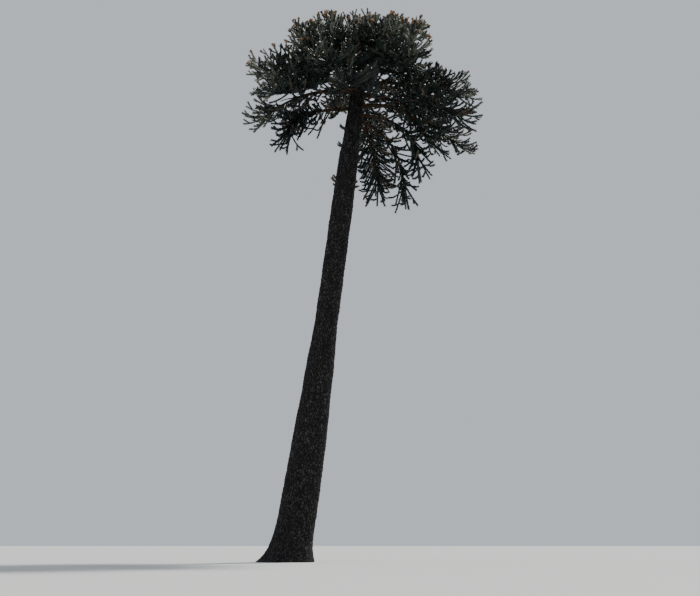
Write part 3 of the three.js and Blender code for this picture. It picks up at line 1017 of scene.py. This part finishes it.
def line_piece(name, lines, girths):
    """An object of loose lines, each point with a girth."""
    edges = []
    start = 0
    for line in lines:
        edges += [(place, place + 1) for place in range(start, start + len(line) - 1)]
        start += len(line)
    piece = new_piece(name, np.concatenate(lines), edges, [])
    mark_points(piece, "girth", "FLOAT", girths)
    return piece


def limb_lines(low_share, high_share, low_radius, high_radius):
    """Courses and radii of one stretch of every limb. Each argument is a function of the limb."""
    lines, girths = [], []
    for limb in limbs:
        low, high = low_share(limb), high_share(limb)
        if high > low:
            lines.append(bezier(limb["course"], np.linspace(low, high, LIMB_POINTS)))
            girths.append(np.linspace(low_radius(limb), high_radius(limb), LIMB_POINTS))
    return lines, girths


boughs = line_piece("bough_bark", *limb_lines(
    lambda limb: 0.0, lambda limb: limb["bare"] + (RUN_IN if limb["bare"] else 0),
    lambda limb: limb["thick"], lambda limb: limb["thick"] * BOUGH_TAPER))
apply_tree(boughs, tube, {"Material": bough_bark, **BOUGH_PLATES, **BOUGH_TUBE})
stem_lines, stem_girths = limb_lines(
    lambda limb: limb["bare"], lambda limb: 1.0,
    lambda limb: limb["thick"] * BOUGH_TAPER, lambda limb: STEM_END_RADIUS)
for stem in side_stems:
    stem_lines.append(bezier(stem["course"], np.linspace(0, 1, SIDE_STEM_POINTS)))
    stem_girths.append(np.linspace(SIDE_STEM_THICK, STEM_END_RADIUS, SIDE_STEM_POINTS))
stems = line_piece("stem_bark", stem_lines, stem_girths)
apply_tree(stems, tube, {"Material": stem_bark, **STEM_PLATES, **STEM_TUBE})
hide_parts(*BOUGH_NODES)
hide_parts(*FOLIAGE_NODES)
for piece in (boughs, stems):
    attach(piece, "root")
    print(piece.name, triangles(piece), "triangles")

# %% [markdown]
# Scale leaves
# A shoot is a green rope of stiff, sharp leaves that overlap like tiles. Each leaf is a flat triangle with
# a keel on its outer side, so four faces are enough. It is drawn once, standing off the shoot's axis at its
# true distance, so that turning it about that axis is all that a copy needs. The leaves follow one another
# at the golden angle, which is how the plant packs them.

# %% The leaf and its material group
LEAF_ROOT = 0.022
LEAF_LENGTH = 0.062
LEAF_WIDTH = 0.046
LEAF_LEAN = 38
LEAF_KEEL = 0.010
KEEL_AT = 0.3
SPECKLE_SCALE = 45.0
SHINE_RANGE = 0.2
PAINTED_HIGHLIGHT_LIMITS = (0.42, 0.6)
LEAF_SHADES = [("Leaf Colour", "colour", (0.03, 0.05, 0.02, 1)),
               ("Sunned Colour", "colour", (0.08, 0.1, 0.03, 1)),
               ("Patch Size", "number", 0.3), ("Shine", "number", 0.45)]
leafage, given, result = new_tree("stiff_leaf", "ShaderNodeTree", LEAF_SHADES, LOOK_RESULTS)
place = node(leafage, "ShaderNodeTexCoord").outputs["Object"]
patch_scale = maths(leafage, "DIVIDE", 1.0, given["Patch Size"])
patches = noise(leafage, place, patch_scale)
speckle = noise(leafage, place, SPECKLE_SCALE, detail=2.0)
# Painted highlight: the lighter colour in random patches and specks stands for sunlit leaves
painted_highlight = ramp(leafage, weighted(leafage, (patches, 0.6), (speckle, 0.4)), *PAINTED_HIGHLIGHT_LIMITS)
colour = mix_colours(leafage, painted_highlight, given["Leaf Colour"], given["Sunned Colour"])
shine = maths(leafage, "ADD", given["Shine"], maths(leafage, "MULTIPLY", speckle, SHINE_RANGE))
leafage.links.new(colour, result["Colour"])
leafage.links.new(shine, result["Roughness"])
leafage.links.new(speckle, result["Height"])


def leaf_template():
    """One closed four-faced leaf that stands off the upright axis, leaning away from it."""
    tilt = math.radians(LEAF_LEAN)
    along = Vector((math.sin(tilt), 0, math.cos(tilt)))
    outer = Vector((math.cos(tilt), 0, -math.sin(tilt)))
    foot = Vector((LEAF_ROOT, 0, 0))
    half = Vector((0, LEAF_WIDTH / 2, 0))
    keel = foot + along * LEAF_LENGTH * KEEL_AT + outer * LEAF_KEEL
    points = [foot - half, foot + half, foot + along * LEAF_LENGTH, keel]
    piece = new_piece("scale_leaf", points, [], [(0, 1, 2), (0, 2, 3), (2, 1, 3), (1, 0, 3)])
    shape = bmesh.new()
    shape.from_mesh(piece.data)
    bmesh.ops.recalc_face_normals(shape, faces=shape.faces)
    shape.to_mesh(piece.data)
    shape.free()
    return piece


scale_leaf = leaf_template()
print("one leaf has", triangles(scale_leaf), "triangles")

# %% [markdown]
# Leaves along the shoots
# The tree turns each shoot's line into a curve, puts points along it at even steps, and sets a leaf on
# every point, turned with the curve and then about it. A thinner core of the same green closes the gaps
# between the leaves.

# %% The leafy shoot tree
LEAFY_INPUTS = [("Leaf", "object", None), ("Spacing", "number", 0.014), ("Turn", "number", GOLDEN_ANGLE),
                ("Roll Jitter", "number", 0.25), ("Size Jitter", "number", 0.14), ("Seed", "count", 3),
                ("Material", "material", None)]
CORE_INPUTS = [("Sides", "count", 5), ("Radius", "number", 0.030), ("Material", "material", None)]


def random_between(tree, low, high, seed):
    """A random number for each point, the same on every run."""
    made = node(tree, "FunctionNodeRandomValue", {"data_type": "FLOAT"}, _2=low, _3=high, Seed=seed)
    return made.outputs[1]


def copies_on(tree, points, template, turn, size):
    """Real copies of an object on points, each turned and sized."""
    shape = node(tree, "GeometryNodeObjectInfo", Object=template).outputs["Geometry"]
    copies = node(tree, "GeometryNodeInstanceOnPoints", Points=points, Instance=shape, Rotation=turn,
                  Scale=size).outputs[0]
    return node(tree, "GeometryNodeRealizeInstances", Geometry=copies).outputs[0]


leafy, given, result = shape_tree("leafy_shoot", LEAFY_INPUTS)
spots = node(leafy, "GeometryNodeCurveToPoints", {"mode": "LENGTH"}, Curve=as_curve(leafy, given),
             Length=given["Spacing"])
order = node(leafy, "GeometryNodeInputIndex").outputs[0]
roll_down = maths(leafy, "MULTIPLY", given["Roll Jitter"], -1.0)
jitter = random_between(leafy, roll_down, given["Roll Jitter"], given["Seed"])
angle = maths(leafy, "ADD", maths(leafy, "MULTIPLY", order, given["Turn"]), jitter)
roll = node(leafy, "FunctionNodeAxisAngleToRotation", Axis=(0, 0, 1), Angle=angle).outputs[0]
turned = node(leafy, "FunctionNodeRotateRotation", {"rotation_space": "LOCAL"},
              Rotation=spots.outputs["Rotation"], Rotate_By=roll).outputs[0]
smallest = maths(leafy, "SUBTRACT", 1.0, given["Size Jitter"])
largest = maths(leafy, "ADD", 1.0, given["Size Jitter"])
size = random_between(leafy, smallest, largest, maths(leafy, "ADD", given["Seed"], 1.0))
size = maths(leafy, "MULTIPLY", stored(leafy, "girth"), size)
hand_out(leafy, copies_on(leafy, spots.outputs["Points"], given["Leaf"], turned, size), given, result)

core, given, result = shape_tree("shoot_core", CORE_INPUTS)
rope = sweep(core, as_curve(core, given), given["Sides"], given["Radius"])
hand_out(core, rope, given, result, smooth=True)
print("leafy shoot tree with", len(leafy.nodes), "nodes")

# %% [markdown]
# Tufts on the trunk
# A few short shoots break from the old bark below the crown. Each tuft is a fan of shoots from one place on
# the bole, and they are dressed with all the others.

# %% Grow the trunk's tufts
# Height, plane angle and length of shoots of each tuft
TUFTS = [(13.55, 180, 0.24), (13.40, 5, 0.20), (15.10, 200, 0.22), (15.80, 165, 0.26), (14.60, 95, 0.30)]
TUFT_SHOOTS = 5
TUFT_SPREAD = 62
TUFT_KEYS = 600
TUFT_RISE_DRAW = 20
TUFT_RISE_LEAST = 0.1
TUFT_RISE_RANGE = 0.7
TUFT_SUNK = 0.03
TUFT_UPTURN = 0.8
for number, (height, degrees, length) in enumerate(TUFTS):
    key = TUFT_KEYS + number
    for finger in range(TUFT_SHOOTS):
        turn = math.radians(degrees + between(key, finger, TUFT_SPREAD))
        rise = TUFT_RISE_LEAST + TUFT_RISE_RANGE * seeded(key, TUFT_RISE_DRAW + finger)
        way = unit(level_way(turn) + UP * rise)
        root = trunk_axis(height) + level_way(turn) * (bole_radius(height) - TUFT_SUNK)
        elbow = root + way * length * ELBOW
        tip = elbow + unit(way + UP * TUFT_UPTURN) * length * (1 - ELBOW)
        shoots.append({"course": [root, elbow, tip], "limb": None, "length": length})
print(len(TUFTS), "tufts")

# %% [markdown]
# Colours dealt out by shoot
# The crown is dark green inside as painted shade, with olive and yellow-green shoots on its rounded outside
# as painted light, and brown ones near the trunk where old leaves have died. Each shoot takes one of seven
# plain colours by chance and by its place in the crown, and the shoots of one colour are joined into one
# piece.
# Darker colours shine less, and shoots high in the crown are slimmer.

# %% Deal the shoots out and dress them
# Name, leaf colour and painted highlight colour, share of the shoots, and gloss; deep to bright run from
# painted shade to painted light
LEAF_TINTS = [
    ("leaves_deep", (0.009, 0.014, 0.014), (0.017, 0.026, 0.023), 0.14, 0.15),
    ("leaves_shade", (0.014, 0.021, 0.019), (0.029, 0.041, 0.034), 0.31, 0.2),
    ("leaves_green", (0.024, 0.037, 0.026), (0.053, 0.074, 0.048), 0.20, 0.3),
    ("leaves_moss", (0.035, 0.048, 0.033), (0.083, 0.102, 0.070), 0.15, 0.4),
    ("leaves_olive", (0.056, 0.066, 0.046), (0.150, 0.165, 0.120), 0.12, 0.5),
    ("leaves_bright", (0.096, 0.106, 0.080), (0.275, 0.285, 0.230), 0.09, 0.6),
    ("leaves_rust", (0.048, 0.035, 0.025), (0.110, 0.080, 0.055), 0.07, 0.2),
]
SHOOT_STEP = 0.2
LEAST_POINTS = 3
# Places along a shoot and its girth there
SHOOT_PROFILE = ((0, 0.8), (0.12, 1.02), (0.7, 1.1), (1, 1.12))
GIRTH_MIDDLE = 0.95
GIRTH_RANGE = 0.12
GIRTH_DRAW = 80
LEAF_SPACING = 0.0185
LEAF_FINISH = {"Patch Size": 0.35, "Shine": 0.34}
SLIM_TIERS = {"leader": 0.80, "dome": 0.80, "tip": 0.80, "shoulder": 0.92, "skirt": 0.92}
TINT_DRAW = 70
RUST = len(LEAF_TINTS) - 1
INNER_BROWNING = 0.35
BROWN_WITHIN = 2.2
CROWN_TOP = 20.6
CROWN_ROUND = 0.144
SHADE_DEPTH = 2.2
EVEN_LIGHT = 0.58
# How far the place in the crown moves the tint: painted light outside, painted shade inside
PAINTED_LIGHT_SHIFT = 0.9


def outer_light(place):
    """How much light reaches a place, from 0 well inside the crown to 1 on its rounded outside."""
    out = np.linalg.norm(place - trunk_axis(place[2]))
    outside = CROWN_TOP - CROWN_ROUND * out * out
    return min(1.0, max(0.0, 1 - (outside - place[2]) / SHADE_DEPTH))


def tint_of(serial, shoot):
    """The number of a shoot's tint: painted light on the crown's rounded outside, painted shade inside,
    often brown near the trunk.
    """
    end = shoot["course"][-1]
    out = np.linalg.norm(end - trunk_axis(end[2]))
    if seeded(serial, TINT_DRAW + 1) < INNER_BROWNING * max(0.0, 1 - out / BROWN_WITHIN):
        return RUST
    if seeded(serial, TINT_DRAW + 2) < LEAF_TINTS[RUST][3]:
        return RUST
    # Painted light and shade: a shoot on the crown's outside draws a brighter tint, one deep inside a
    # darker one
    chance = seeded(serial, TINT_DRAW) + PAINTED_LIGHT_SHIFT * (outer_light(end) - EVEN_LIGHT)
    for number, tint in enumerate(LEAF_TINTS[:RUST]):
        chance -= tint[3]
        if chance < 0:
            return number
    return RUST - 1


profile_places, profile_sizes = zip(*SHOOT_PROFILE)
dealt = [[] for _ in LEAF_TINTS]
for serial, shoot in enumerate(shoots):
    dealt[tint_of(serial, shoot)].append((serial, shoot))

foliage = []
for (name, leaf_colour, painted_highlight_colour, _, gloss), group in zip(LEAF_TINTS, dealt):
    # Each tint's second colour is its painted highlight, laid on in patches
    finish = {"Leaf Colour": leaf_colour, "Sunned Colour": painted_highlight_colour, **LEAF_FINISH}
    material = grouped_material(name, leafage, finish, bump=0.3, bump_depth=0.004, gloss=gloss)
    lines, girths = [], []
    for serial, shoot in group:
        shares = np.linspace(0, 1, max(LEAST_POINTS, 1 + round(shoot["length"] / SHOOT_STEP)))
        tier = None if shoot["limb"] is None else limbs[shoot["limb"]]["tier"]
        girth = GIRTH_MIDDLE + between(serial, GIRTH_DRAW, GIRTH_RANGE)
        lines.append(bezier(shoot["course"], shares))
        girths.append(np.interp(shares, profile_places, profile_sizes) * SLIM_TIERS.get(tier, 1.0) * girth)
    leaves = line_piece(name, lines, girths)
    apply_tree(leaves, leafy, {"Leaf": scale_leaf, "Spacing": LEAF_SPACING, "Material": material})
    cores = line_piece(name.replace("leaves", "twigs"), lines, girths)
    apply_tree(cores, core, {"Material": material})
    foliage += [leaves, cores]
bpy.data.objects.remove(scale_leaf)
for piece in foliage:
    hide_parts(*FOLIAGE_NODES)
    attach(piece, "root")
    print(piece.name, triangles(piece), "triangles")

# %% [markdown]
# Cones
# Small brown cones stand at the ends of upright shoots, most of them on the crown's outside at the top. One
# plain cone of six sides is made, with each ring turned by half a side so that its facets read as scales,
# and a tree sets it on every tip, turned the way that the shoot points.

# %% Build the cones
# Heights and the cone's radius there
CONE_RINGS = ((0.0, 0.018), (0.022, 0.042), (0.052, 0.052), (0.082, 0.038), (0.102, 0.012))
CONE_SIDES = 6
CONE_TIERS = ("leader", "dome", "tip", "shoulder")
CONE_SHARE = 0.42
CONE_LIGHT = 0.6
CONE_PITCH = 0.55
CONE_LIFT = 0.045
CONE_DRAW = 90
# The second colour is a painted highlight in small patches on the cones
CONE_FINISH = {"Leaf Colour": (0.150, 0.074, 0.030), "Sunned Colour": (0.330, 0.170, 0.070),
               "Patch Size": 0.06, "Shine": 0.55}


def cone_template():
    """One closed cone that stands upright on the origin."""
    points = []
    for level, (z, radius) in enumerate(CONE_RINGS):
        for side in range(CONE_SIDES):
            angle = (side + 0.5 * level) * 2 * math.pi / CONE_SIDES
            points.append((radius * math.cos(angle), radius * math.sin(angle), z))
    faces = [tuple(reversed(range(CONE_SIDES))), tuple(range(len(points) - CONE_SIDES, len(points)))]
    for level in range(len(CONE_RINGS) - 1):
        low, high = level * CONE_SIDES, (level + 1) * CONE_SIDES
        for side in range(CONE_SIDES):
            after = (side + 1) % CONE_SIDES
            faces += [(low + side, low + after, high + side), (low + after, high + after, high + side)]
    return new_piece("cone_template", points, [], faces)


CONE_INPUTS = [("Cone", "object", None), ("Least", "number", 0.75), ("Most", "number", 1.15),
               ("Seed", "count", 5), ("Material", "material", None)]
coning, given, result = shape_tree("cones_on_tips", CONE_INPUTS)
spots = node(coning, "GeometryNodeMeshToPoints", Mesh=given["Geometry"]).outputs[0]
stand = node(coning, "FunctionNodeAlignRotationToVector", {"axis": "Z"},
             Vector=stored(coning, "way", "FLOAT_VECTOR")).outputs[0]
size = random_between(coning, given["Least"], given["Most"], given["Seed"])
hand_out(coning, copies_on(coning, spots, given["Cone"], stand, size), given, result)

places, ways = [], []
for serial, shoot in enumerate(shoots):
    if shoot["limb"] is None or limbs[shoot["limb"]]["tier"] not in CONE_TIERS:
        continue
    way = bezier_tangent(shoot["course"], 1)
    near_outside = max(0.0, (outer_light(shoot["course"][2]) - CONE_LIGHT) / (1 - CONE_LIGHT))
    if way[2] > CONE_PITCH and seeded(serial, CONE_DRAW) < CONE_SHARE * near_outside:
        places.append(shoot["course"][2] - way * CONE_LIFT)
        ways.append(way)
cone_shape = cone_template()
cones = new_piece("cones", places, [], [])
mark_points(cones, "way", "FLOAT_VECTOR", ways)
cone_skin = grouped_material("cone_skin", leafage, CONE_FINISH, bump=0.5, bump_depth=0.004, gloss=0.4)
apply_tree(cones, coning, {"Cone": cone_shape, "Material": cone_skin})
bpy.data.objects.remove(cone_shape)
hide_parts(*FOLIAGE_NODES)
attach(cones, "root")
print(len(places), "cones,", triangles(cones), "triangles")

# %% [markdown]
# The grown tree may stand only a little out of its solids.

# The end

# %% Finish
print("tree grown")
